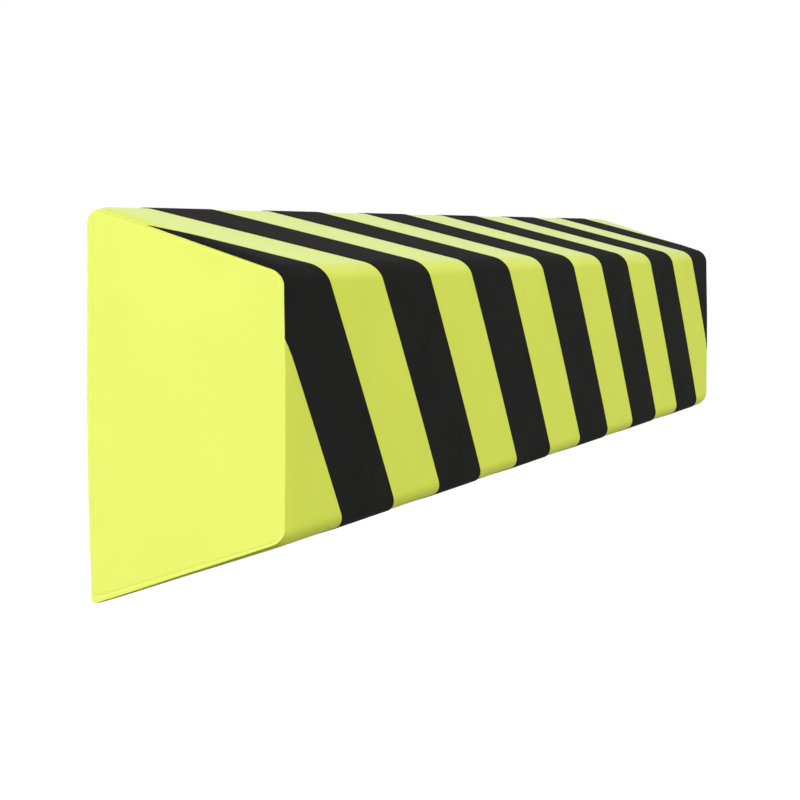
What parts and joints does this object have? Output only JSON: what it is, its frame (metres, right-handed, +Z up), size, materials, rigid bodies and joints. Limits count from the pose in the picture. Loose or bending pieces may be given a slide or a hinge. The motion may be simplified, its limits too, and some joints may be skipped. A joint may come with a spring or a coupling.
{
  "type": "foam impact protector",
  "caption": "Long foam impact protector of trapezium section with a flat back, rounded edges, plain end faces and diagonal black stripes.",
  "frame": {"origin": "middle of the flat back face, half way along the pad and half way up the back", "axes": "+X along the pad, +Y out of the back face into the wall, +Z up; the front face looks toward -Y"},
  "size_m": [1, 0.0833, 0.1577],
  "materials": {
    "yellow_foam": "satin, soft foam with a coated skin",
    "black_coat": "satin coat on the foam's skin"
  },
  "bodies": {
    "root": {"pad_body": "yellow_foam", "warning_stripes": "black_coat"}
  },
  "joints": []
}
